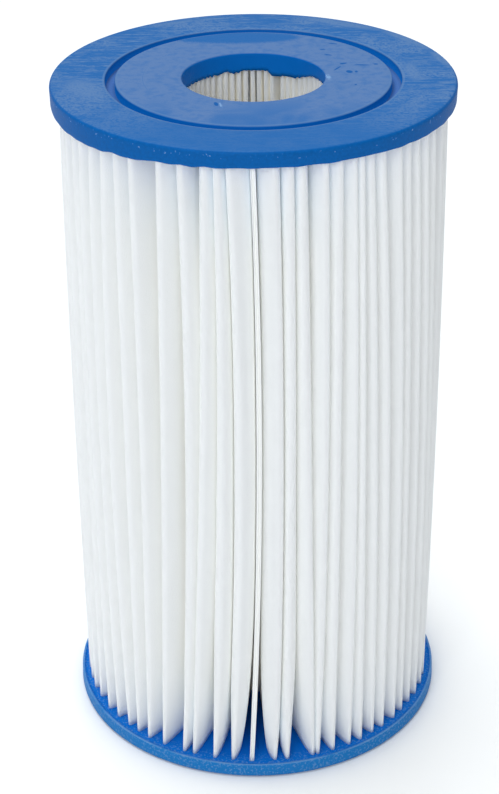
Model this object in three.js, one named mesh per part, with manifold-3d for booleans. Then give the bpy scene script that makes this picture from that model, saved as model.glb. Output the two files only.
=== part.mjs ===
// A pleated filter cartridge for a small pool or spa filter, standing on its lower end cap.
//
// It is four pieces: two cast polymer end caps with a bore and a ring groove, one long web of
// filter cloth folded into a ring of radial pleats whose edges are potted in the caps, and the
// strip of adhesive that bonds the web's two ends together in a fin at the front.
//
// Units are millimetres and +Z is up. The origin is at the centre of the lower cap's flat face,
// and the bonded fin points along -Y.

import * as THREE from 'three';
import { mergeVertices } from 'three/addons/utils/BufferGeometryUtils.js';
import Module from 'manifold-3d';

const wasm = await Module();
wasm.setup();

// ---- Driving dimensions ----

const HEIGHT = 252; // from the lower cap's flat face to the upper cap's
const CAP_RADIUS = 71;
const BORE_RADIUS = 25;
const CLEARANCE = 0.3; // left between two pieces that touch

// An end cap. Depths are measured from its flat outer face towards the pleats.
const CAP_WALL = 5.7; // the outer wall's height
const CAP_FLOOR = 5.3; // the poured surface between the pleats, just below the rim
const CAP_RIM_WIDTH = 1; // the thin raised rim around the poured surface
const CAP_DRAFT = 0.5; // the wall leans in by this much towards the rim
const CAP_EDGE_RADIUS = 1.2; // the rounded corner between the face and the outer wall
const CAP_EDGE_STEPS = 3;
const BORE_WALL = 7.5; // the polymer climbs between the crowded folds around the bore
const BORE_CLIMB_WIDTH = 4; // how far out from the bore that climb reaches
const BORE_CHAMFER = 0.6;
const CAP_SEGMENTS = 72;
const GROOVE_INNER_RADIUS = 48.3; // the ring that holds the pleats off the mould leaves a groove
const GROOVE_OUTER_RADIUS = 51.7;
const GROOVE_DEPTH = 3.5;

// The web of filter cloth.
const PLEATS = 66; // 65 outer folds and the bonded fin
const WEB_THICKNESS = 0.4;
const WEB_OUTER_RADIUS = 68;
const WEB_INNER_RADIUS = 26;
const FOLD_RADIUS = 0.55; // of the middle of the cloth, around a fold
const FOLD_STEPS = 2;
const SLOT_FLOOR = 4; // the bottom of the slots that the web stands in

// The bonded fin, where the web's two ends meet.
const BOND_THICKNESS = 0.6;
const BOND_WIDTH = 10;
const FIN_OUTER_RADIUS = 67.5;

// ---- Dimensions that follow ----

const TURN = 2 * Math.PI;
const PLEAT_ANGLE = TURN / PLEATS;
const FIN_BEARING = -TURN / 4;
const WEB_FOOT = SLOT_FLOOR + CLEARANCE;
const WEB_HEIGHT = HEIGHT - 2 * WEB_FOOT;
const HALF_WEB = WEB_THICKNESS / 2;
const OUTER_FOLD_CENTRE = WEB_OUTER_RADIUS - HALF_WEB - FOLD_RADIUS;
const INNER_FOLD_CENTRE = WEB_INNER_RADIUS + HALF_WEB + FOLD_RADIUS;
const FIN_OFFSET = BOND_THICKNESS / 2 + CLEARANCE + HALF_WEB; // from the fin's middle to a cloth's

// ---- Materials ----

const capPolymer = new THREE.MeshStandardMaterial({ color: 0x2f6bb0, roughness: 0.55, metalness: 0 });
const filterCloth = new THREE.MeshStandardMaterial({ color: 0xe9eef2, roughness: 0.9, metalness: 0 });
const adhesive = new THREE.MeshStandardMaterial({ color: 0xdcd6c4, roughness: 0.6, metalness: 0 });

// ---- Solids ----

// A closed geometry as a solid that can be cut.
function solidFrom(geometry) {
  const bare = geometry.clone();
  bare.deleteAttribute('normal');
  bare.deleteAttribute('uv');
  const merged = mergeVertices(bare);
  return new wasm.Manifold(new wasm.Mesh({
    numProp: 3,
    vertProperties: new Float32Array(merged.getAttribute('position').array),
    triVerts: new Uint32Array(merged.getIndex().array),
  }));
}

function geometryFrom(solid) {
  const mesh = solid.getMesh();
  const geometry = new THREE.BufferGeometry();
  geometry.setAttribute('position', new THREE.BufferAttribute(mesh.vertProperties, mesh.numProp));
  geometry.setIndex(new THREE.BufferAttribute(mesh.triVerts, 1));
  geometry.computeVertexNormals();
  return geometry;
}

// ---- The web's outline, seen from above ----

// A point `out` from the axis along a bearing and `across` it, counterclockwise.
function bearingPoint(bearing, out, across) {
  return new THREE.Vector2(
    out * Math.cos(bearing) - across * Math.sin(bearing),
    out * Math.sin(bearing) + across * Math.cos(bearing),
  );
}

// One face of the cloth around a fold: a half turn that bulges outward (side 1) or inward (-1).
function foldArc(bearing, centreOut, radius, side) {
  const points = [];
  for (let step = 0; step <= FOLD_STEPS; step += 1) {
    const turn = Math.PI * (step / FOLD_STEPS - 0.5);
    const out = centreOut + side * radius * Math.cos(turn);
    points.push(bearingPoint(bearing, out, radius * Math.sin(turn)));
  }
  return points;
}

// One whole face of the web, from end to end. `offset` is how far it lies from the middle of the
// cloth: above 0 on the face that looks away from the axis, below 0 on the one facing the bore.
function webFace(offset, finRadius) {
  const points = [bearingPoint(FIN_BEARING, finRadius, FIN_OFFSET + offset)];
  for (let pleat = 0; pleat < PLEATS; pleat += 1) {
    const bearing = FIN_BEARING + pleat * PLEAT_ANGLE;
    if (pleat > 0) {
      points.push(...foldArc(bearing, OUTER_FOLD_CENTRE, FOLD_RADIUS + offset, 1));
    }
    points.push(...foldArc(bearing + PLEAT_ANGLE / 2, INNER_FOLD_CENTRE, FOLD_RADIUS - offset, -1));
  }
  points.push(bearingPoint(FIN_BEARING, finRadius, -FIN_OFFSET - offset));
  return points;
}

// The whole strip of cloth, grown by a margin on every side.
function webOutline(margin) {
  const finRadius = FIN_OUTER_RADIUS + margin;
  const away = webFace(HALF_WEB + margin, finRadius);
  const towards = webFace(-HALF_WEB - margin, finRadius);
  return new THREE.Shape([...away, ...towards.reverse()]);
}

function webPrism(margin) {
  const depth = WEB_HEIGHT + 2 * margin;
  const prism = new THREE.ExtrudeGeometry(webOutline(margin), { depth, bevelEnabled: false });
  return prism.translate(0, 0, WEB_FOOT - margin);
}

function bondBlock(margin) {
  const block = new THREE.BoxGeometry(
    BOND_THICKNESS + 2 * margin,
    BOND_WIDTH + 2 * margin,
    WEB_HEIGHT + 2 * margin,
  );
  return block.translate(0, BOND_WIDTH / 2 - FIN_OUTER_RADIUS, HEIGHT / 2);
}

// ---- End caps ----

// The cap's section as (radius, depth) points, closed on itself.
function capSection() {
  const section = [
    new THREE.Vector2(BORE_RADIUS + BORE_CHAMFER, 0),
    new THREE.Vector2(GROOVE_INNER_RADIUS, 0),
    new THREE.Vector2(GROOVE_INNER_RADIUS, GROOVE_DEPTH),
    new THREE.Vector2(GROOVE_OUTER_RADIUS, GROOVE_DEPTH),
    new THREE.Vector2(GROOVE_OUTER_RADIUS, 0),
  ];
  for (let step = 0; step <= CAP_EDGE_STEPS; step += 1) {
    const turn = (step / CAP_EDGE_STEPS) * (TURN / 4);
    section.push(new THREE.Vector2(
      CAP_RADIUS - CAP_EDGE_RADIUS * (1 - Math.sin(turn)),
      CAP_EDGE_RADIUS * (1 - Math.cos(turn)),
    ));
  }
  section.push(
    new THREE.Vector2(CAP_RADIUS - CAP_DRAFT, CAP_WALL),
    new THREE.Vector2(CAP_RADIUS - CAP_DRAFT - CAP_RIM_WIDTH, CAP_FLOOR),
    new THREE.Vector2(BORE_RADIUS + BORE_CLIMB_WIDTH, CAP_FLOOR),
    new THREE.Vector2(BORE_RADIUS, BORE_WALL),
    new THREE.Vector2(BORE_RADIUS, BORE_CHAMFER),
    section[0].clone(),
  );
  return section;
}

// A cap with the slots that the web and its bond stand in. The lower cap's face looks down and
// the upper one's looks up.
function endCap(name, isUpper) {
  const disc = new THREE.LatheGeometry(capSection(), CAP_SEGMENTS);
  disc.rotateX(isUpper ? -TURN / 4 : TURN / 4);
  disc.translate(0, 0, isUpper ? HEIGHT : 0);
  const cut = solidFrom(disc)
    .subtract(solidFrom(webPrism(CLEARANCE)))
    .subtract(solidFrom(bondBlock(CLEARANCE)));
  return namedMesh(name, geometryFrom(cut), capPolymer);
}

// ---- The cartridge ----

function namedMesh(name, geometry, material) {
  const mesh = new THREE.Mesh(geometry, material);
  mesh.name = name;
  return mesh;
}

const cartridge = new THREE.Group();
cartridge.name = 'filter_cartridge';
cartridge.add(
  endCap('bottom_end_cap', false),
  endCap('top_end_cap', true),
  namedMesh('pleated_media', webPrism(0), filterCloth),
  namedMesh('media_seam', bondBlock(0), adhesive),
);

export default cartridge;
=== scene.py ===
"""A pleated filter cartridge: the looks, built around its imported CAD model.

Lengths are metres in the CAD frame. +Z is up, the lower cap stands on z = 0, and the bonded fin of
the cloth points along -Y, towards the camera. Bearings run from -Y towards +X.
"""

import math

import bpy
import numpy as np
from mathutils import Matrix, Vector


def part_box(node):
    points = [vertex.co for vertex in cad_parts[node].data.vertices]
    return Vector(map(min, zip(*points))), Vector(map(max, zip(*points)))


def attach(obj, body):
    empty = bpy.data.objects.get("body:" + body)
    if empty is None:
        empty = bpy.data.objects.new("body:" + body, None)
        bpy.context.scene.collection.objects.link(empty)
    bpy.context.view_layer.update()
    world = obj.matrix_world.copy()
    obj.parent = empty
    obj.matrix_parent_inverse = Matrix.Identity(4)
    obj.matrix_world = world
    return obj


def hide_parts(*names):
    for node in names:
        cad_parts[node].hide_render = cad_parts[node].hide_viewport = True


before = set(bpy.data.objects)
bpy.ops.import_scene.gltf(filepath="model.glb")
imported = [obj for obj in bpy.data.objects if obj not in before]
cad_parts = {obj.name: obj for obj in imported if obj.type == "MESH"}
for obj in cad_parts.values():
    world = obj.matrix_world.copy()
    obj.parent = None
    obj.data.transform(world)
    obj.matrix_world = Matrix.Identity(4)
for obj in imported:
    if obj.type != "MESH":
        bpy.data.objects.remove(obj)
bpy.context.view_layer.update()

MM = 0.001
SEED = 7

# ---- Dimensions from the CAD frame ----

CAP_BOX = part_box("top_end_cap")
WEB_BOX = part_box("pleated_media")
CAP_RADIUS = CAP_BOX[1].y
HEIGHT = CAP_BOX[1].z
BORE_WALL = HEIGHT - CAP_BOX[0].z
WEB_FOOT = WEB_BOX[0].z
WEB_HEAD = WEB_BOX[1].z
WEB_RADIUS = WEB_BOX[1].y

# ---- Dimensions that the design fixes and no box holds ----

BORE_RADIUS = 25 * MM
CAP_WALL = 5.7 * MM
CAP_FLOOR = 5.3 * MM
CAP_RIM_WIDTH = 1 * MM
CAP_EDGE_RADIUS = 1.5 * MM
BORE_EDGE_RADIUS = 0.6 * MM
BORE_CLIMB_WIDTH = 4 * MM
GROOVE_INNER_RADIUS = 48.3 * MM
GROOVE_OUTER_RADIUS = 51.7 * MM
GROOVE_DEPTH = 3.5 * MM

PLEATS = 66
CLOTH_THICKNESS = 0.45 * MM
BOND_THICKNESS = 0.8 * MM
BOND_WIDTH = 10 * MM

# The bearings in degrees of the outer folds on the front half, each at the top, middle and bottom
# of the cloth. The folds on the back half are drawn at random.
FRONT_FOLDS = (
    (-84, -84, -83.5),
    (-78, -78, -77.5),
    (-72, -71.5, -72),
    (-66, -65, -66.5),
    (-60, -60.5, -59),
    (-54.5, -55.5, -53.5),
    (-48.5, -50, -47.5),
    (-43, -42.5, -43),
    (-37, -36, -38),
    (-27.5, -28.5, -32),
    (-21, -20, -24.5),
    (-14, -16, -21),
    (-10.5, -10, -14),
    (-7, -4.5, -8),
    (-0.5, 1, -2),
    (5.5, 7, 5.5),
    (10, 10.5, 9.5),
    (13.5, 15.5, 18),
    (20, 21, 19.7),
    (24.5, 25, 25),
    (29, 31, 31),
    (31.5, 34, 35.5),
    (35, 39, 41),
    (39, 44, 45.5),
    (45.5, 50, 51.5),
    (50, 54, 56.5),
    (54.5, 60, 62),
    (59, 65, 67),
    (64, 69, 73),
    (72.5, 74, 78.5),
    (79, 80, 84),
)
FIN_PLACE = FRONT_FOLDS.index((-0.5, 1, -2))  # where the bonded fin is in that list


# ---- Helpers ----


def radial(bearing):
    """The unit vector that points out from the axis along a bearing in radians."""
    return np.stack([np.sin(bearing), -np.cos(bearing)], axis=-1)


def tangent(bearing):
    """The unit vector across a bearing, towards larger bearings."""
    return np.stack([np.cos(bearing), np.sin(bearing)], axis=-1)


def ring_wobble(bearings, lowest, highest, seed):
    """A smooth random curve around the ring, mostly from -1 to 1, with that many waves in a turn."""
    rng = np.random.default_rng(SEED + seed)
    waves = range(lowest, highest + 1)
    total = sum(
        rng.normal() * np.cos(n * bearings + rng.uniform(0, 2 * math.pi)) for n in waves
    )
    return total / math.sqrt(len(waves))


def mesh_piece(name, points, faces, material):
    """A smooth-shaded mesh object that rides on the cartridge."""
    mesh = bpy.data.meshes.new(name)
    mesh.from_pydata(points.reshape(-1, 3).tolist(), [], faces.tolist())
    mesh.materials.append(material)
    mesh.shade_smooth()
    piece = bpy.data.objects.new(name, mesh)
    bpy.context.scene.collection.objects.link(piece)
    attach(piece, "root")
    return piece


def grid_faces(rows, columns, closed_rows=False, closed_columns=False):
    """The quads of a grid of points, with row and column ends joined up where it is closed."""
    row = np.arange(rows if closed_rows else rows - 1)
    column = np.arange(columns if closed_columns else columns - 1)
    a, b = np.meshgrid(row, column, indexing="ij")
    next_a = (a + 1) % rows
    next_b = (b + 1) % columns
    corners = [a * columns + b, a * columns + next_b, next_a * columns + next_b, next_a * columns + b]
    return np.stack(corners, axis=-1).reshape(-1, 4)


# ---- The folded cloth ----

HELD_FOLD_RADIUS = 0.45 * MM  # of the middle of the cloth, where a cap holds the folds tight
FREE_FOLD_RADIUS = 1.3 * MM  # at mid-height, where the cloth is free
FOLD_SHARE = 0.36  # how much of the way to the next fold a free fold may take up
INNER_FOLD_RADIUS = 0.55 * MM
INNER_FOLD_PLAY = 0.5  # how far an inner fold may stand to one side, in degrees
EVENING_REACH = 4  # inner folds follow the average of the folds up to this many to each side
EVENING_SPREAD = 1.8  # the spread of the weights in that average, in folds
OUTER_FOLD_POINTS = 7
INNER_FOLD_POINTS = 4
FLANK_STEPS = np.array([0.04, 0.1, 0.18, 0.33, 0.66])  # shares of the way from a fold to the next
FULLEST = 0.17  # where a pleat is fullest, as a share of the way in from its outer fold
BELLY = (1.5 * MM, 2.8 * MM)  # how far a pleat swells on one side, if it has the room
HELD_SHARE = 0.75  # how much of that a cap takes away where it holds the cloth tight
HEAD_HOLD = 0.3  # how tightly the upper cap holds the cloth, if the lower one's hold is 1
LEFT_CALM = 0.7  # how much less the pleats at the far left swell, where the valleys stand open
MEETING_SHARE = 0.46  # how much of a valley one belly may fill
FIN_MEETING_SHARE = 0.96  # the same for the two pleats that lean on the flat fin
BACK_FOLD_PLAY = 1  # how far a fold on the back half may stand to one side, in degrees
OUTER_FOLD_DEPTHS = (-0.5, 0.1)  # how far each outer fold reaches past the CAD fold, in mm
INNER_FOLD_DEPTHS = (0.3, 0.9)  # how far each inner fold stops short of the bore's wall, in mm
CLOTH_ROWS = 36
CLOTH_BULGE = 0.7 * MM  # how much further out the folds reach at mid-height
FIN_RADIUS = WEB_RADIUS - 0.1 * MM
FIN_HALF_WIDTH = (BOND_THICKNESS + CLOTH_THICKNESS) / 2
INNER_GAP_BEARING = 161  # where the inner folds stand apart, seen through the bore
INNER_GAP_SPREAD = 2.2  # how far each side of the gap moves off, in degrees
INNER_GAP_FADE = 10  # and over how many degrees this dies away


def outer_fold_bearings(level):
    """The bearing of each outer fold in radians, as (pleat, row), with the fin as pleat 0."""
    nominal = 360 / PLEATS
    pleat = np.arange(len(FRONT_FOLDS)) - FIN_PLACE
    shift = np.zeros((PLEATS, 3))
    shift[pleat % PLEATS] = np.array(FRONT_FOLDS) - nominal * pleat[:, None]
    ends = [pleat[-1], PLEATS + pleat[0]]
    hidden = np.arange(ends[0] + 1, ends[1])
    rng = np.random.default_rng(SEED)
    for knot in range(3):
        between = np.interp(hidden, ends, shift[ends, knot])
        play = rng.uniform(-BACK_FOLD_PLAY, BACK_FOLD_PLAY, len(hidden))
        shift[hidden, knot] = between + play
    top, middle, bottom = (shift[:, knot, None] for knot in range(3))
    lean = (top - bottom) / 2
    bow = (top + bottom) / 2 - middle
    along = middle + lean * level + bow * level**2
    return np.radians(nominal * np.arange(PLEATS)[:, None] + along)


def inner_fold_bearings(outer):
    """The inner folds stand between the outer ones, but are packed more evenly."""
    nominal = 2 * math.pi / PLEATS * np.arange(PLEATS)[:, None]
    shift = outer - nominal
    steps = np.arange(-EVENING_REACH, EVENING_REACH + 1)
    weights = np.exp(-0.5 * (steps / EVENING_SPREAD) ** 2)
    even = sum(w * np.roll(shift, -s, axis=0) for s, w in zip(steps, weights)) / weights.sum()
    rng = np.random.default_rng(SEED + 1)
    jitter = np.radians(rng.uniform(-INNER_FOLD_PLAY, INNER_FOLD_PLAY, (PLEATS, 1)))
    inner = nominal + math.pi / PLEATS + (even + np.roll(even, -1, axis=0)) / 2 + jitter
    past = np.degrees(inner) - INNER_GAP_BEARING
    fade = np.exp(-np.abs(past) / INNER_GAP_FADE)
    return inner + np.radians(INNER_GAP_SPREAD * np.sign(past) * fade)


def fold_arc(bearing, reach, radius, side, count, early=0, late=0):
    """The turn of cloth around a fold whose crest is at reach, as (row, point, 2).

    side is 1 for a fold that bulges out, and -1 for one that bulges in. early and late are the
    angles that the turn lacks of a half turn at its two ends, where the cloth runs on bellied.
    """
    share = np.linspace(0, 1, count)
    start = np.broadcast_to(early - math.pi / 2, radius.shape)
    stop = np.broadcast_to(math.pi / 2 - late, radius.shape)
    turns = (start[:, None] * (1 - share) + stop[:, None] * share)[..., None]
    centre = (reach - side * radius)[:, None] * radial(bearing)
    out = side * radius[:, None, None] * np.cos(turns) * radial(bearing)[:, None]
    across = radius[:, None, None] * np.sin(turns) * tangent(bearing)[:, None]
    return centre[:, None] + out + across


def flank(start, end, belly):
    """The cloth between two folds, bellied towards the valley, as (row, point, 2)."""
    run = end - start
    away = np.stack([run[:, 1], -run[:, 0]], axis=-1)
    away /= np.linalg.norm(away, axis=1, keepdims=True)
    near = FLANK_STEPS / FULLEST
    shape = near * np.exp(1 - near) * (1 - FLANK_STEPS**4)
    straight = start[:, None] + FLANK_STEPS[None, :, None] * run[:, None]
    return straight + (belly[:, None] * shape)[..., None] * away[:, None]


def height_level(z):
    """-1 at the foot of the cloth and 1 at its head."""
    middle = (WEB_HEAD + WEB_FOOT) / 2
    return (z - middle) / (WEB_HEAD - middle)


def hold(level):
    """How tightly the caps hold the cloth at each height."""
    return level**4 * np.where(level < 0, 1, HEAD_HOLD)


def fold_gaps(outer):
    """The way from each outer fold to the next, around the outside."""
    return np.diff(outer, axis=0, append=outer[:1] + 2 * math.pi) * WEB_RADIUS


def fold_radii(outer, level):
    """The radius of each outer fold: sharp where it is held, soft where free, tight by another."""
    gap = fold_gaps(outer)
    nearest = np.minimum(gap, np.roll(gap, 1, axis=0))
    free = FREE_FOLD_RADIUS + (HELD_FOLD_RADIUS - FREE_FOLD_RADIUS) * hold(level)
    radii = np.minimum(free, FOLD_SHARE * nearest - CLOTH_THICKNESS / 2)
    radii[0] = FIN_HALF_WIDTH
    return radii


def nose_turn(belly):
    """How far short of a quarter turn a fold stops, where a side that swells by belly leaves it."""
    return np.arctan(belly * math.e / (FULLEST * (WEB_RADIUS - BORE_RADIUS)))


def bellies(outer, radii, level):
    """How far each pleat swells on its (late, early) side, as (pleat, row) arrays.

    A pleat swells as far as it likes, or until it meets its neighbour. A swollen side leaves its
    fold early, which makes a little more room, so the second round goes further than the first.
    """
    rng = np.random.default_rng(SEED + 3)
    freedom = 1 - HELD_SHARE * hold(level)
    leftness = np.clip(-np.sin(outer), 0, 1)
    wish = rng.uniform(*BELLY, (2, PLEATS, 1)) * freedom * (1 - LEFT_CALM * leftness)
    fin_freedom = np.where(level < 0, freedom, 1)  # they lean on the fin right up to the head
    late = early = np.zeros_like(radii)
    for _ in range(2):
        mouth = fold_gaps(outer) - radii * np.cos(nose_turn(late))
        mouth -= np.roll(radii * np.cos(nose_turn(early)), -1, axis=0)
        room = (1 - FULLEST) * mouth + FULLEST * 2 * INNER_FOLD_RADIUS - CLOTH_THICKNESS
        late_room = np.maximum(room, 0)
        early_room = np.roll(late_room, 1, axis=0)
        late = np.minimum(wish[0], MEETING_SHARE * late_room)
        early = np.minimum(wish[1], MEETING_SHARE * early_room)
        late[0] = early[0] = 0
        late[-1] = FIN_MEETING_SHARE * late_room[-1] * fin_freedom
        early[1] = FIN_MEETING_SHARE * early_room[1] * fin_freedom
    return late, early


def cloth_layout(z):
    """Where the folds stand at each height of z: their bearings and reach, as (pleat, row)."""
    level = height_level(z)
    rng = np.random.default_rng(SEED + 2)
    outer = outer_fold_bearings(level)
    inner = inner_fold_bearings(outer)
    bulge = CLOTH_BULGE * (1 - level**2)
    outer_depth = rng.uniform(*OUTER_FOLD_DEPTHS, (PLEATS, 1)) * MM
    inner_depth = rng.uniform(*INNER_FOLD_DEPTHS, (PLEATS, 1)) * MM
    outer_radius = WEB_RADIUS + bulge + outer_depth
    inner_radius = np.broadcast_to(BORE_RADIUS + inner_depth, outer.shape)
    return outer, outer_radius, inner, inner_radius


def cloth_section(z):
    """The middle of the cloth from one bonded end to the other, as (row, point, 2)."""
    level = height_level(z)
    outer, outer_radius, inner, inner_radius = cloth_layout(z)
    radii = fold_radii(outer, level)
    late, early = bellies(outer, radii, level)
    crest = outer_radius - CLOTH_THICKNESS / 2
    root = inner_radius + CLOTH_THICKNESS / 2
    tight = np.full(len(z), INNER_FOLD_RADIUS)
    outer_arcs = [
        fold_arc(
            outer[k],
            crest[k],
            radii[k],
            1,
            OUTER_FOLD_POINTS,
            nose_turn(early[k]),
            nose_turn(late[k]),
        )
        for k in range(PLEATS)
    ]
    inner_arcs = [
        fold_arc(inner[k], root[k], tight, -1, INNER_FOLD_POINTS) for k in range(PLEATS)
    ]
    fin_ends = [
        FIN_RADIUS * radial(outer[0]) + side * FIN_HALF_WIDTH * tangent(outer[0])
        for side in (1, -1)
    ]
    sections = []
    for k in range(PLEATS):
        after = (k + 1) % PLEATS
        start = fin_ends[0] if k == 0 else outer_arcs[k][:, -1]
        end = fin_ends[1] if after == 0 else outer_arcs[after][:, 0]
        sections.append(fin_ends[0][:, None] if k == 0 else outer_arcs[k])
        sections.append(flank(start, inner_arcs[k][:, 0], late[k]))
        sections.append(inner_arcs[k])
        back = flank(end, inner_arcs[k][:, -1], -early[after])
        sections.append(back[:, ::-1])
    sections.append(fin_ends[1][:, None])
    return np.concatenate(sections, axis=1)


def pleated_cloth(material):
    """The whole web as one folded sheet with a real thickness.

    Its rows are closer together near the caps, where the cloth changes its shape most.
    """
    turns = np.linspace(0, math.pi, CLOTH_ROWS)
    even = np.linspace(0, 1, CLOTH_ROWS)
    share = 0.5 * even + 0.5 * (1 - np.cos(turns)) / 2
    z = WEB_FOOT + share * (WEB_HEAD - WEB_FOOT)
    section = cloth_section(z)
    height = np.broadcast_to(z[:, None, None], (*section.shape[:2], 1))
    points = np.concatenate([section, height], axis=2)
    cloth = mesh_piece("pleated_cloth", points, grid_faces(*section.shape[:2]), material)
    thickness = cloth.modifiers.new("cloth_thickness", "SOLIDIFY")
    thickness.thickness = CLOTH_THICKNESS
    thickness.offset = 0
    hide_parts("pleated_media")


# ---- The bond in the fin ----

BOND_ROWS = 30


def seam_bond(material):
    """The strip of adhesive between the web's two ends, with a blunt outer edge."""
    z = np.linspace(WEB_FOOT, WEB_HEAD, BOND_ROWS)
    outer = cloth_layout(z)[0][0]
    half = BOND_THICKNESS / 2
    outline = [
        (-BOND_WIDTH, -half),
        (-BOND_WIDTH, half),
        (-half, half),
        (0, half / 2),
        (half / 3, 0),
        (0, -half / 2),
        (-half, -half),
    ]
    points = np.stack(
        [
            (FIN_RADIUS + out) * radial(outer) + across * tangent(outer)
            for out, across in outline
        ],
        axis=1,
    )
    height = np.broadcast_to(z[:, None, None], (*points.shape[:2], 1))
    points = np.concatenate([points, height], axis=2)
    faces = grid_faces(*points.shape[:2], closed_columns=True).tolist()
    count = len(outline)
    last = (BOND_ROWS - 1) * count
    faces.append(list(range(count))[::-1])
    faces.append([last + corner for corner in range(count)])
    mesh = bpy.data.meshes.new("seam_bond")
    mesh.from_pydata(points.reshape(-1, 3).tolist(), [], faces)
    mesh.materials.append(material)
    bond = bpy.data.objects.new("seam_bond", mesh)
    bpy.context.scene.collection.objects.link(bond)
    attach(bond, "root")
    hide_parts("media_seam")


# ---- End caps ----

CAP_COLUMNS = PLEATS * 10
CAP_DRAFT = 0.15 * MM  # how far the wall leans in, from the flat face to the rim
RIM_RADIUS = 0.3 * MM  # of the two edges of the rim
FACE_STEP = 4 * MM  # between the rings of points on the flat face
FLOOR_STEP = 1.2 * MM  # and on the poured side
UPPER_SEED = 20
LOWER_SEED = 40
SLOW_WAVES = (3, 12)  # the fewest and most waves in a turn
QUICK_WAVES = (25, 70)
RAGGED_WAVES = (40, 110)
UPPER_RIPPLE = (0.08, 0.13)  # how far the slow and the quick waves move the rim, in mm
LOWER_RIPPLE = (0.05, 0.03)
BORE_RAGGEDNESS = 0.15  # how far the ragged waves move the bore's lower edge, in mm
GROOVE_INNER_EDGE = 0.6 * MM
GROOVE_OUTER_EDGE = 0.35 * MM
# How deep the upper cap's wall hangs, in mm below its face, by bearing in degrees: the casting ran
# down further on one side.
UPPER_WALL = (
    (-180, 5.9),
    (-90, 7),
    (-66, 7.9),
    (-50, 7.9),
    (-41, 7.2),
    (-33, 7.1),
    (-27, 6.2),
    (0, 5.9),
    (29, 5.7),
    (42, 6.3),
    (75, 6.3),
    (120, 6),
    (180, 5.9),
)
# The same for the ragged lower edge of the bore's wall.
UPPER_BORE = (
    (-180, 6.7),
    (-170, 6.7),
    (-168, 7.4),
    (-161, 7.4),
    (-159, 6.6),
    (-155, 6.6),
    (-152, 7.2),
    (-110, 7.3),
    (0, 7.3),
    (90, 6),
    (104, 4.9),
    (124, 5.2),
    (140, 7.5),
    (143, 8),
    (155, 8),
    (157, 8.5),
    (165, 8.5),
    (168, 6.7),
    (180, 6.7),
)


def arc_points(centre, radius, start, stop, count):
    """(radius, depth) points on an arc, with angles in degrees from the radial direction."""
    angles = np.radians(np.linspace(start, stop, count))
    return [(centre[0] + radius * math.cos(a), centre[1] + radius * math.sin(a)) for a in angles]


def ring_run(start, stop, step):
    """Evenly spaced radii between two, without either end."""
    count = max(2, round(abs(stop - start) / step))
    return np.linspace(start, stop, count + 1)[1:-1]


def cap_section():
    """The cap's outline as (radius, depth) points, with depth measured in from its flat face."""
    rim = CAP_RADIUS - CAP_DRAFT
    bore_edge = BORE_RADIUS + BORE_EDGE_RADIUS
    groove_in = GROOVE_INNER_RADIUS - GROOVE_INNER_EDGE
    groove_out = GROOVE_OUTER_RADIUS + GROOVE_OUTER_EDGE
    shoulder = CAP_RADIUS - CAP_EDGE_RADIUS
    section = arc_points((bore_edge, BORE_EDGE_RADIUS), BORE_EDGE_RADIUS, 180, 270, 5)
    section += [(r, 0) for r in ring_run(bore_edge, groove_in, FACE_STEP)]
    section += arc_points((groove_in, GROOVE_INNER_EDGE), GROOVE_INNER_EDGE, 270, 360, 5)
    section += [(GROOVE_INNER_RADIUS, GROOVE_DEPTH), (GROOVE_OUTER_RADIUS, GROOVE_DEPTH)]
    section += arc_points((groove_out, GROOVE_OUTER_EDGE), GROOVE_OUTER_EDGE, 180, 270, 4)
    section += [(r, 0) for r in ring_run(groove_out, shoulder, FACE_STEP)]
    section += arc_points((shoulder, CAP_EDGE_RADIUS), CAP_EDGE_RADIUS, 270, 360, 7)
    section += [(CAP_RADIUS - CAP_DRAFT * share, CAP_WALL * share) for share in (0.5, 0.8)]
    foot = CAP_WALL - RIM_RADIUS
    section += arc_points((rim - RIM_RADIUS, foot), RIM_RADIUS, 0, 90, 4)
    inner_rim = rim - CAP_RIM_WIDTH
    section += arc_points((inner_rim + RIM_RADIUS, foot), RIM_RADIUS, 90, 180, 4)
    section += [(inner_rim, CAP_FLOOR)]
    climb = BORE_RADIUS + BORE_CLIMB_WIDTH
    section += [(r, CAP_FLOOR) for r in ring_run(inner_rim, climb, FLOOR_STEP)]
    for share in np.linspace(0, 1, 7):
        rise = (BORE_WALL - CAP_FLOOR) * share**2
        section.append((climb - BORE_CLIMB_WIDTH * share, CAP_FLOOR + rise))
    section += [(BORE_RADIUS, BORE_WALL * share) for share in (0.8, 0.6, 0.4, 0.2)]
    return np.array(section)


def by_bearing(bearings, knots):
    """The value at each bearing in metres, straight between knots of (degrees, mm)."""
    wrapped = (np.degrees(bearings) + 180) % 360 - 180
    places, values = zip(*knots)
    return np.interp(wrapped, places, values) * MM


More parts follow.
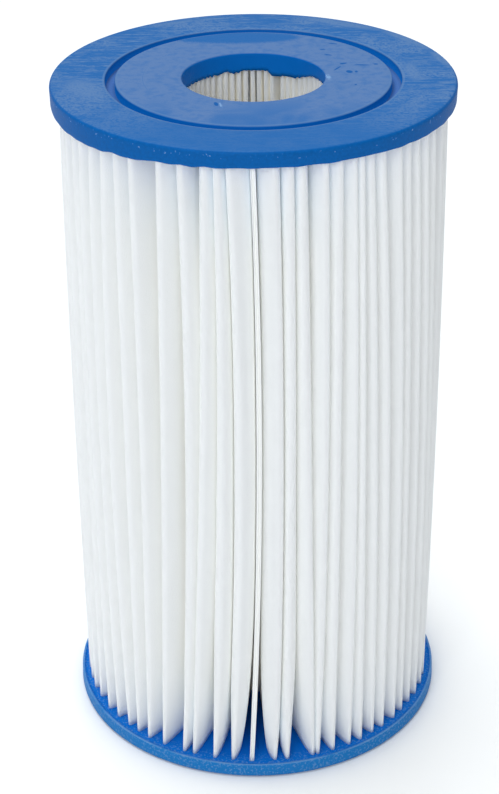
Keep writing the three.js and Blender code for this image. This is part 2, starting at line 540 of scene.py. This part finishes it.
def end_cap(name, node, is_upper, material):
    """A cap as one closed ring, with the uneven rim and bore of a hand-poured casting."""
    section = cap_section()
    bearings = np.linspace(0, 2 * math.pi, CAP_COLUMNS, endpoint=False)
    seed = UPPER_SEED if is_upper else LOWER_SEED
    radius = np.repeat(section[:, 0, None], CAP_COLUMNS, axis=1)
    depth = np.repeat(section[:, 1, None], CAP_COLUMNS, axis=1)

    wall_depth = by_bearing(bearings, UPPER_WALL) if is_upper else CAP_WALL
    slow = ring_wobble(bearings, *SLOW_WAVES, seed)
    quick = ring_wobble(bearings, *QUICK_WAVES, seed + 1)
    slow_size, quick_size = UPPER_RIPPLE if is_upper else LOWER_RIPPLE
    ripple = (slow_size * slow + quick_size * quick) * MM
    on_rim = (radius > CAP_RADIUS - CAP_DRAFT - CAP_RIM_WIDTH - RIM_RADIUS / 2) & (depth > 0)
    down_wall = np.clip((depth - CAP_EDGE_RADIUS) / (CAP_WALL - CAP_EDGE_RADIUS), 0, 1)
    is_wall = np.where(on_rim & ~np.isclose(depth, CAP_FLOOR), down_wall, 0)
    depth = depth + is_wall * (wall_depth - CAP_WALL + ripple)

    bore_depth = by_bearing(bearings, UPPER_BORE) if is_upper else BORE_WALL
    ragged = BORE_RAGGEDNESS * ring_wobble(bearings, *RAGGED_WAVES, seed + 2) * MM
    near_bore = np.clip((BORE_RADIUS + BORE_CLIMB_WIDTH - radius) / BORE_CLIMB_WIDTH, 0, 1)
    down_bore = np.clip((depth - BORE_EDGE_RADIUS) / (BORE_WALL - BORE_EDGE_RADIUS), 0, 1)
    depth = depth + near_bore * down_bore * (bore_depth - BORE_WALL + ragged)

    z = HEIGHT - depth if is_upper else depth
    xy = radius[..., None] * radial(bearings)[None]
    points = np.concatenate([xy, z[..., None]], axis=2)
    faces = grid_faces(len(section), CAP_COLUMNS, closed_rows=True, closed_columns=True)
    if is_upper:
        faces = faces[:, ::-1]
    cap = mesh_piece(name, points, faces, material)
    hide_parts(node)


# ---- Materials ----


class Shader:
    """Short ways to add nodes to one material, which work with places in millimetres."""

    def __init__(self, name):
        self.material = bpy.data.materials.new(name)
        self.material.use_nodes = True
        self.nodes = self.material.node_tree.nodes
        self.links = self.material.node_tree.links
        self.surface = self.nodes["Principled BSDF"]

    def set(self, **values):
        """Plain values for the surface's own sockets, with _ for each space in a socket's name."""
        for name, value in values.items():
            self.surface.inputs[name.replace("_", " ")].default_value = value

    def node(self, kind, *inputs, **settings):
        """A node of that kind. Each input is a socket to link, a value, or None to leave alone."""
        node = self.nodes.new("ShaderNode" + kind)
        for name, value in settings.items():
            setattr(node, name, value)
        for socket, value in zip(node.inputs, inputs):
            if isinstance(value, bpy.types.NodeSocket):
                self.links.new(value, socket)
            elif value is not None:
                socket.default_value = value
        return node

    def place(self):
        """The point on the object, in millimetres."""
        metres = self.node("TexCoord").outputs["Object"]
        return self.stretched(metres, (1 / MM, 1 / MM, 1 / MM))

    def stretched(self, vector, factors):
        """A vector with each axis multiplied by its own factor."""
        return self.node("VectorMath", vector, factors, operation="MULTIPLY").outputs[0]

    def math(self, operation, a, b=None):
        """The result of one arithmetic step, named as in Blender's Math node."""
        return self.node("Math", a, b, operation=operation).outputs[0]

    def ramp(self, value, low, high):
        """0 below low, 1 above high and smooth between, or the other way round."""
        node = self.node("MapRange", value, low, high, interpolation_type="SMOOTHSTEP")
        return node.outputs[0]

    def noise(self, vector, scale, detail=3, distortion=0):
        """Noise around 0.5, with its coarsest lumps 1 / scale across."""
        node = self.node("TexNoise", vector)
        node.inputs["Scale"].default_value = scale
        node.inputs["Detail"].default_value = detail
        node.inputs["Distortion"].default_value = distortion
        return node.outputs["Fac"]

    def blend(self, share, low, high):
        """A colour between two, each a socket or an (r, g, b)."""
        node = self.node("Mix", data_type="RGBA")
        self.links.new(share, node.inputs["Factor"])
        for name, colour in (("A", low), ("B", high)):
            socket = next(i for i in node.inputs if i.name == name and i.type == "RGBA")
            if isinstance(colour, bpy.types.NodeSocket):
                self.links.new(colour, socket)
            else:
                socket.default_value = (*colour, 1)
        return next(o for o in node.outputs if o.type == "RGBA")

    def colour(self, colour):
        """The surface's own colour, from a socket."""
        self.links.new(colour, self.surface.inputs["Base Color"])

    def roughness(self, share, low, high):
        """The surface's roughness, from low to high as share goes from 0 to 1."""
        value = self.node("MapRange", share, 0.0, 1.0, low, high).outputs[0]
        self.links.new(value, self.surface.inputs["Roughness"])

    def bump(self, height, depth_mm):
        """Fine relief that shading alone shows, depth_mm deep where height goes from 0 to 1."""
        node = self.node("Bump")
        node.inputs["Strength"].default_value = 1
        node.inputs["Distance"].default_value = depth_mm * MM
        self.links.new(height, node.inputs["Height"])
        self.links.new(node.outputs["Normal"], self.surface.inputs["Normal"])


# The dimensions that the materials use, in millimetres.
MID_HEIGHT_MM = HEIGHT / 2 / MM
CAP_RADIUS_MM = CAP_RADIUS / MM
GROOVE_INNER_MM = GROOVE_INNER_RADIUS / MM
GROOVE_CENTRE_MM = (GROOVE_INNER_RADIUS + GROOVE_OUTER_RADIUS) / 2 / MM
GROOVE_FLOOR_MM = MID_HEIGHT_MM - GROOVE_DEPTH / MM  # from mid-height, like every height below

POLYMER = (0.0, 0.105, 0.375)
POLYMER_SHADE = (0.0, 0.09, 0.32)
# painted light: lighter blues for the inner sides and the groove, lifting their shade
POLYMER_POURED_LIT = (0.0, 0.15, 0.56)
# painted light: a lighter blue for the lower cap, as if lit from the floor below
POLYMER_LOWER_LIT = (0.012, 0.18, 0.5)
POLYMER_FACE = (0.014, 0.117, 0.35)
# the paler face colours are partly real bloom and wiping, partly painted sheen
POLYMER_SCUFF_AND_SHEEN = (0.09, 0.187, 0.375)
POLYMER_DISC_AND_SHEEN = (0.09, 0.178, 0.37)
POLYMER_FLOOR_OF_GROOVE = (0.06, 0.15, 0.38)
POLYMER_GROOVE_LIT = (0.0, 0.135, 0.48)
# pale colour for real wear and nicks, also used for painted highlights
POLYMER_WEAR_AND_HIGHLIGHT = (0.2, 0.34, 0.56)
# Where each of these tints starts and where it is full, in mm.
LOWER_LIT_HEIGHTS = (20.0, 10.0)  # the lower cap's brighter blue, by height
DUSTY_HEIGHTS = (9.0, 7.0)  # the dust on the lower cap's rim, by height
DUSTY_RADII = (62.0, 68.0)  # and by radius
RING_WEAR = (-60.0, 20.0)  # the wear of the ring, along Y
DISC_FRONT = (-12.0, -42.0)  # the darker front of the disc, along Y
# A darker patch at the back of the disc: its middle and its half sizes, in mm.
DISC_PATCH_PLACE = (-2.5, 46.5, 0)
DISC_PATCH_SIZE = (24, 6.5, 1)
# Pits and scratches on the disc: x, y, half length, half width in mm, and turn in degrees.
DISC_PITS = (
    (26.7, 22.1, 1.6, 0.5, -30),
    (28.9, 34.4, 1.8, 0.5, -20),
    (25, 28, 1, 0.5, 0),
    (29.5, 7.5, 2.6, 0.35, 60),
    (31.8, 12.6, 1.4, 0.7, 30),
    (33.6, 4, 1.1, 1.5, 20),
    (36, 4, 0.5, 0.9, 0),
    (38.3, 11, 2.6, 0.5, -5),
    (43.3, 11.8, 0.8, 0.6, 0),
    (35.2, -9.2, 0.4, 0.6, 0),
    (-12.6, -27.5, 0.7, 1.9, 10),
)
# Pale nicks beside the bore, in the same way.
DISC_NICKS = (
    (25.9, -1, 0.8, 3, 12),
    (-11, -28.5, 0.4, 2.4, 10),
)
# Where the ring is wiped palest, in the same way.
RING_WIPES = (
    (66.5, -8, 3, 0.9, 0),
    (66.5, -14.5, 3.5, 0.8, 5),
    (64.5, -23, 3, 1.2, 5),
    (55.5, 4, 2.5, 9, 5),
    (32, 58, 16, 2.6, -28),
    (57, 38, 14, 2.6, -52),
    (67, 17, 9, 2.2, -72),
    (-30, 59, 9, 1.6, 22),
    (-15, 64, 6, 1, 10),
    (-58, -12, 10, 6, -60),
)


def spots(shader, flat, places, softness):
    """1 inside each of the listed ovals and 0 around them."""
    shown = None
    for x, y, half_length, half_width, turn in places:
        moved = shader.node("Mapping", flat, vector_type="TEXTURE")
        moved.inputs["Location"].default_value = (x, y, 0)
        moved.inputs["Rotation"].default_value = (0, 0, math.radians(turn))
        moved.inputs["Scale"].default_value = (half_length, half_width, 1)
        away = shader.node("VectorMath", moved.outputs[0], operation="LENGTH").outputs["Value"]
        inside = shader.ramp(away, 1 + softness, 1 - softness)
        shown = inside if shown is None else shader.math("MAXIMUM", shown, inside)
    return shown


def band(shader, value, middle, half_width, edge):
    """1 where value is within half_width of middle, and 0 beyond a soft edge."""
    away = shader.math("ABSOLUTE", shader.math("SUBTRACT", value, middle))
    return shader.ramp(away, half_width + edge, half_width)


def ring_colour(shader, place, flat, grain, cloud):
    """The ring outside the groove: wiped streaks along X with painted sheen, more at its sides and
    back.
    """
    x, y = shader.node("SeparateXYZ", place).outputs[:2]
    sideways = shader.math("MULTIPLY", shader.math("ABSOLUTE", x), 0.6)
    worn = shader.ramp(shader.math("ADD", y, sideways), *RING_WEAR)
    wiped = shader.noise(shader.stretched(place, (0.08, 0.7, 0.5)), 1, 5, 0.4)
    brushed = shader.noise(shader.stretched(place, (0.4, 2.2, 1)), 1, 3)
    streaks = shader.math("MULTIPLY", shader.ramp(wiped, 0.44, 0.6), shader.ramp(brushed, 0.3, 0.6))
    mottle = shader.math("MULTIPLY", shader.ramp(cloud, 0.4, 0.62), shader.ramp(grain, 0.3, 0.6))
    mixed = shader.math("MAXIMUM", streaks, mottle)
    flecks = shader.ramp(shader.noise(shader.stretched(place, (0.5, 1, 1)), 0.8, 6, 1), 0.5, 0.64)
    mixed = shader.math("SUBTRACT", mixed, shader.math("MULTIPLY", flecks, 0.6))
    mixed = shader.math("MULTIPLY", shader.math("MAXIMUM", worn, 0.22), mixed)
    wiped_pale = spots(shader, flat, RING_WIPES, 0.5)
    wiped_pale = shader.math("MULTIPLY", wiped_pale, shader.ramp(grain, 0.1, 0.6))
    scuff_and_sheen = shader.math("MAXIMUM", mixed, wiped_pale)
    return shader.blend(scuff_and_sheen, POLYMER_FACE, POLYMER_SCUFF_AND_SHEEN)


def disc_colour(shader, place, flat, radius, pits, grain, cloud):
    """The disc inside the groove: evenly pale from bloom and painted sheen, darker at its front and
    in a patch at its back.
    """
    y = shader.node("SeparateXYZ", place).outputs["Y"]
    colours = shader.node("TexNoise", place).outputs["Color"]
    wavy = shader.node("VectorMath", flat, shader.stretched(colours, (9, 9, 0)), operation="ADD")
    patch = shader.node("Mapping", wavy.outputs[0], vector_type="TEXTURE")
    patch.inputs["Location"].default_value = DISC_PATCH_PLACE
    patch.inputs["Scale"].default_value = DISC_PATCH_SIZE
    patch_away = shader.node("VectorMath", patch.outputs[0], operation="LENGTH").outputs["Value"]
    dark = shader.ramp(patch_away, 1.05, 0.95)
    front = shader.math("MULTIPLY", shader.ramp(y, *DISC_FRONT), shader.ramp(cloud, 0.35, 0.6))
    dark = shader.math("MAXIMUM", dark, shader.math("MULTIPLY", front, 0.75))
    turned = shader.noise(shader.node("CombineXYZ", radius, None, None).outputs[0], 0.9, 2)
    lines = shader.math("MULTIPLY", shader.ramp(turned, 0.55, 0.75), shader.ramp(cloud, 0.6, 0.4))
    dark = shader.math("MAXIMUM", dark, lines)
    mottle = shader.ramp(shader.noise(place, 0.35, 6), 0.4, 0.75)
    dark = shader.math("MAXIMUM", dark, shader.math("MULTIPLY", mottle, 0.5))
    colour = shader.blend(dark, POLYMER_DISC_AND_SHEEN, POLYMER_FACE)
    nicks = spots(shader, flat, DISC_NICKS, 0.6)
    nicks = shader.math("MULTIPLY", nicks, shader.ramp(grain, 0.4, 0.55))
    colour = shader.blend(nicks, colour, POLYMER_WEAR_AND_HIGHLIGHT)
    return shader.blend(pits, colour, POLYMER_SHADE)


def wall_colour(shader, z, radius, height, grain):
    """The walls: deep blue, with painted light brightening the lower cap, the inner sides and the
    groove.
    """
    colour = shader.blend(shader.ramp(grain, 0.3, 0.7), POLYMER_SHADE, POLYMER)
    # painted light from below: the lower cap's blue turns lighter towards the floor
    colour = shader.blend(shader.ramp(z, *LOWER_LIT_HEIGHTS), colour, POLYMER_LOWER_LIT)
    top_edge = band(shader, z, HEIGHT / MM - 2, 0.6, 0.6)
    specks = shader.math("MULTIPLY", top_edge, shader.ramp(grain, 0.64, 0.72))
    colour = shader.blend(specks, colour, POLYMER_WEAR_AND_HIGHLIGHT)
    # painted light: the inner sides facing the cloth get a brighter blue, lifting their shade
    poured = shader.ramp(radius, CAP_RADIUS_MM - 0.7, CAP_RADIUS_MM - 1)
    colour = shader.blend(poured, colour, POLYMER_POURED_LIT)
    low = shader.ramp(z, *DUSTY_HEIGHTS)
    low = shader.math("MULTIPLY", low, shader.ramp(radius, *DUSTY_RADII))
    dusty = shader.math("MULTIPLY", low, shader.ramp(grain, 0.5, 0.66))
    colour = shader.blend(shader.math("MULTIPLY", dusty, 0.4), colour, POLYMER_WEAR_AND_HIGHLIGHT)
    # painted light: the groove's walls get a brighter blue than the outer wall, lifting their shade
    above_web = shader.ramp(height, GROOVE_FLOOR_MM - 0.3, GROOVE_FLOOR_MM)
    in_groove = band(shader, radius, GROOVE_CENTRE_MM, 2.6, 0.5)
    in_groove = shader.math("MULTIPLY", in_groove, above_web)
    colour = shader.blend(in_groove, colour, POLYMER_GROOVE_LIT)
    # the groove's floor is a paler grey-blue
    on_floor = band(shader, height, GROOVE_FLOOR_MM, 0.05, 0.1)
    return shader.blend(shader.math("MULTIPLY", in_groove, on_floor), colour, POLYMER_FLOOR_OF_GROOVE)


def polymer_material():
    """Cast blue polymer: deep blue walls, flat faces paler from scuffs, wiping and painted sheen."""
    shader = Shader("cap_polymer")
    place = shader.place()
    z = shader.node("SeparateXYZ", place).outputs["Z"]
    flat = shader.stretched(place, (1, 1, 0))
    radius = shader.node("VectorMath", flat, operation="LENGTH").outputs["Value"]
    height = shader.math("ABSOLUTE", shader.math("SUBTRACT", z, MID_HEIGHT_MM))
    grain = shader.noise(place, 1.1, 4)
    cloud = shader.noise(place, 0.05, 4, 0.6)
    pits = spots(shader, flat, DISC_PITS, 0.2)

    ring = ring_colour(shader, place, flat, grain, cloud)
    disc = disc_colour(shader, place, flat, radius, pits, grain, cloud)
    inside_groove = shader.ramp(radius, GROOVE_INNER_MM + 1, GROOVE_INNER_MM)
    face = shader.blend(inside_groove, ring, disc)
    # painted highlight: light lines along both edges of the groove
    groove_edge_highlights = shader.math("MULTIPLY", band(shader, radius, GROOVE_CENTRE_MM, 2.4, 0.4), 0.6)
    face = shader.blend(groove_edge_highlights, face, POLYMER_SCUFF_AND_SHEEN)
    wall = wall_colour(shader, z, radius, height, grain)
    # painted highlight: a broken light line along the top of the lower cap's rim
    on_rim = band(shader, radius, (CAP_RADIUS - CAP_RIM_WIDTH / 2) / MM, 0.35, 0.2)
    on_rim = shader.math("MULTIPLY", on_rim, band(shader, z, CAP_WALL / MM, 0.15, 0.1))
    on_rim = shader.math("MULTIPLY", on_rim, 0.45)
    on_rim = shader.math("MULTIPLY", on_rim, shader.ramp(cloud, 0.3, 0.6))
    wall = shader.blend(on_rim, wall, POLYMER_WEAR_AND_HIGHLIGHT)
    on_face = shader.ramp(height, MID_HEIGHT_MM - 0.5, MID_HEIGHT_MM - 0.1)
    shader.colour(shader.blend(on_face, wall, face))
    shader.roughness(grain, 0.42, 0.62)
    shader.set(Specular_IOR_Level=0.08)
    shader.bump(shader.math("SUBTRACT", grain, pits), 0.06)
    return shader.material


# painted shade colour: a warm tint deep in, near the bore, like the cloth's shaded creases
CLOTH_DEEP_SHADE_TINT = (0.995, 0.98, 0.94)  # near the bore
CLOTH_PLAIN = (0.985, 0.985, 0.975)
# painted shade: a bluish tint next to the caps, standing for their blue-tinted shade
CLOTH_CAP_BLUE_SHADE = (0.955, 0.975, 0.99)  # next to the blue caps
DEEP_TINT_RADII = (35.0, 65.0)  # where the cloth turns from deep to plain, in mm from the axis
BLUE_SHADE_HEIGHTS = (80.0, 120.0)  # where it turns blue, in mm from mid-height


def cloth_material():
    """White non-woven cloth, thin enough for light to pass through it, with painted warm and blue
    shade tints.
    """
    shader = Shader("filter_cloth")
    shader.set(
        Roughness=0.9,
        Specular_IOR_Level=0.2,
        Subsurface_Weight=1,
        Subsurface_Radius=(1, 1, 1),
        Subsurface_Scale=1 * MM,
    )
    place = shader.place()
    z = shader.node("SeparateXYZ", place).outputs["Z"]
    flat = shader.stretched(place, (1, 1, 0))
    radius = shader.node("VectorMath", flat, operation="LENGTH").outputs["Value"]
    height = shader.math("ABSOLUTE", shader.math("SUBTRACT", z, MID_HEIGHT_MM))
    fibres = shader.noise(shader.stretched(place, (1, 1, 0.35)), 3.5, 5)
    # painted blue shade next to the caps
    outside = shader.blend(shader.ramp(height, *BLUE_SHADE_HEIGHTS), CLOTH_PLAIN, CLOTH_CAP_BLUE_SHADE)
    # painted warm shade tint deep in, towards the bore
    shader.colour(shader.blend(shader.ramp(radius, *DEEP_TINT_RADII), CLOTH_DEEP_SHADE_TINT, outside))
    shader.bump(fibres, 0.08)
    return shader.material


ADHESIVE_DARK = (0.93, 0.925, 0.89)
ADHESIVE_LIGHT = (0.98, 0.975, 0.95)


def adhesive_material():
    """Dried adhesive: off-white, lumpy and slightly shiny."""
    shader = Shader("seam_adhesive")
    lumps = shader.noise(shader.place(), 1.5)
    shader.colour(shader.blend(lumps, ADHESIVE_DARK, ADHESIVE_LIGHT))
    shader.roughness(lumps, 0.35, 0.6)
    shader.bump(lumps, 0.1)
    return shader.material


# ---- The cartridge ----

polymer = polymer_material()
pleated_cloth(cloth_material())
seam_bond(adhesive_material())
end_cap("upper_cap", "top_end_cap", True, polymer)
end_cap("lower_cap", "bottom_end_cap", False, polymer)


# ---- Floor, light and camera ----

FLOOR_SIZE = 40
FLOOR_COLOUR = (0.99, 0.965, 0.94)  # warm, to be white under the bluish light
CAMERA_DISTANCE = 0.751
CAMERA_ELEVATION = math.radians(28.6)
CAMERA_ROLL = math.radians(-0.38)
CAMERA_LENS_MM = 90
CAMERA_SHIFT = (-0.0076, -0.0037)
LIGHT_COLOUR = (0.9, 0.955, 1)
WORLD_STRENGTH = 0.46
LIGHT_BOUNCES = 24  # the white cloth passes light on many times before it is lost


def pale_floor():
    """A wide floor that the cartridge stands on."""
    half = FLOOR_SIZE / 2
    corners = [(-half, -half, 0), (half, -half, 0), (half, half, 0), (-half, half, 0)]
    mesh = bpy.data.meshes.new("floor")
    mesh.from_pydata(corners, [], [(0, 1, 2, 3)])
    mesh.materials.append(floor_material())
    floor = bpy.data.objects.new("floor", mesh)
    bpy.context.scene.collection.objects.link(floor)


def floor_material():
    """Plain matt floor."""
    shader = Shader("floor")
    shader.set(Base_Color=(*FLOOR_COLOUR, 1), Roughness=0.9)
    return shader.material


def area_light(name, place, size, power):
    """A square soft light that looks at the middle of the cartridge."""
    lamp = bpy.data.lights.new(name, "AREA")
    lamp.color = LIGHT_COLOUR
    lamp.size = size
    lamp.energy = power
    light = bpy.data.objects.new(name, lamp)
    place = Vector(place)
    towards = Vector((0, 0, HEIGHT / 2)) - place
    turn = towards.to_track_quat("-Z", "Y").to_matrix().to_4x4()
    light.matrix_world = Matrix.Translation(place) @ turn
    bpy.context.scene.collection.objects.link(light)


def studio():
    """A pale sky, a large high light behind and a smaller one in front and to the left."""
    scene = bpy.context.scene
    scene.view_settings.view_transform = "Standard"
    scene.cycles.max_bounces = LIGHT_BOUNCES
    scene.cycles.diffuse_bounces = LIGHT_BOUNCES
    world = bpy.data.worlds.new("studio")
    world.use_nodes = True
    sky = world.node_tree.nodes["Background"]
    sky.inputs["Color"].default_value = (*LIGHT_COLOUR, 1)
    sky.inputs["Strength"].default_value = WORLD_STRENGTH
    scene.world = world
    area_light("front_light", place=(-0.42, -1.38, 1), size=0.8, power=8.9)
    area_light("top_light", place=(-0.4, 0.7, 4), size=2.8, power=128)


def camera():
    """A long lens that looks down at the cartridge's middle, from the front."""
    lens = bpy.data.cameras.new("camera")
    lens.lens = CAMERA_LENS_MM
    lens.shift_x, lens.shift_y = CAMERA_SHIFT
    eye = bpy.data.objects.new("camera", lens)
    reach = CAMERA_DISTANCE * math.cos(CAMERA_ELEVATION)
    rise = CAMERA_DISTANCE * math.sin(CAMERA_ELEVATION)
    tilt = Matrix.Rotation(math.pi / 2 - CAMERA_ELEVATION, 4, "X")
    roll = Matrix.Rotation(CAMERA_ROLL, 4, "Z")
    eye.matrix_world = Matrix.Translation((0, -reach, HEIGHT / 2 + rise)) @ tilt @ roll
    bpy.context.scene.collection.objects.link(eye)
    bpy.context.scene.camera = eye


pale_floor()
studio()
camera()
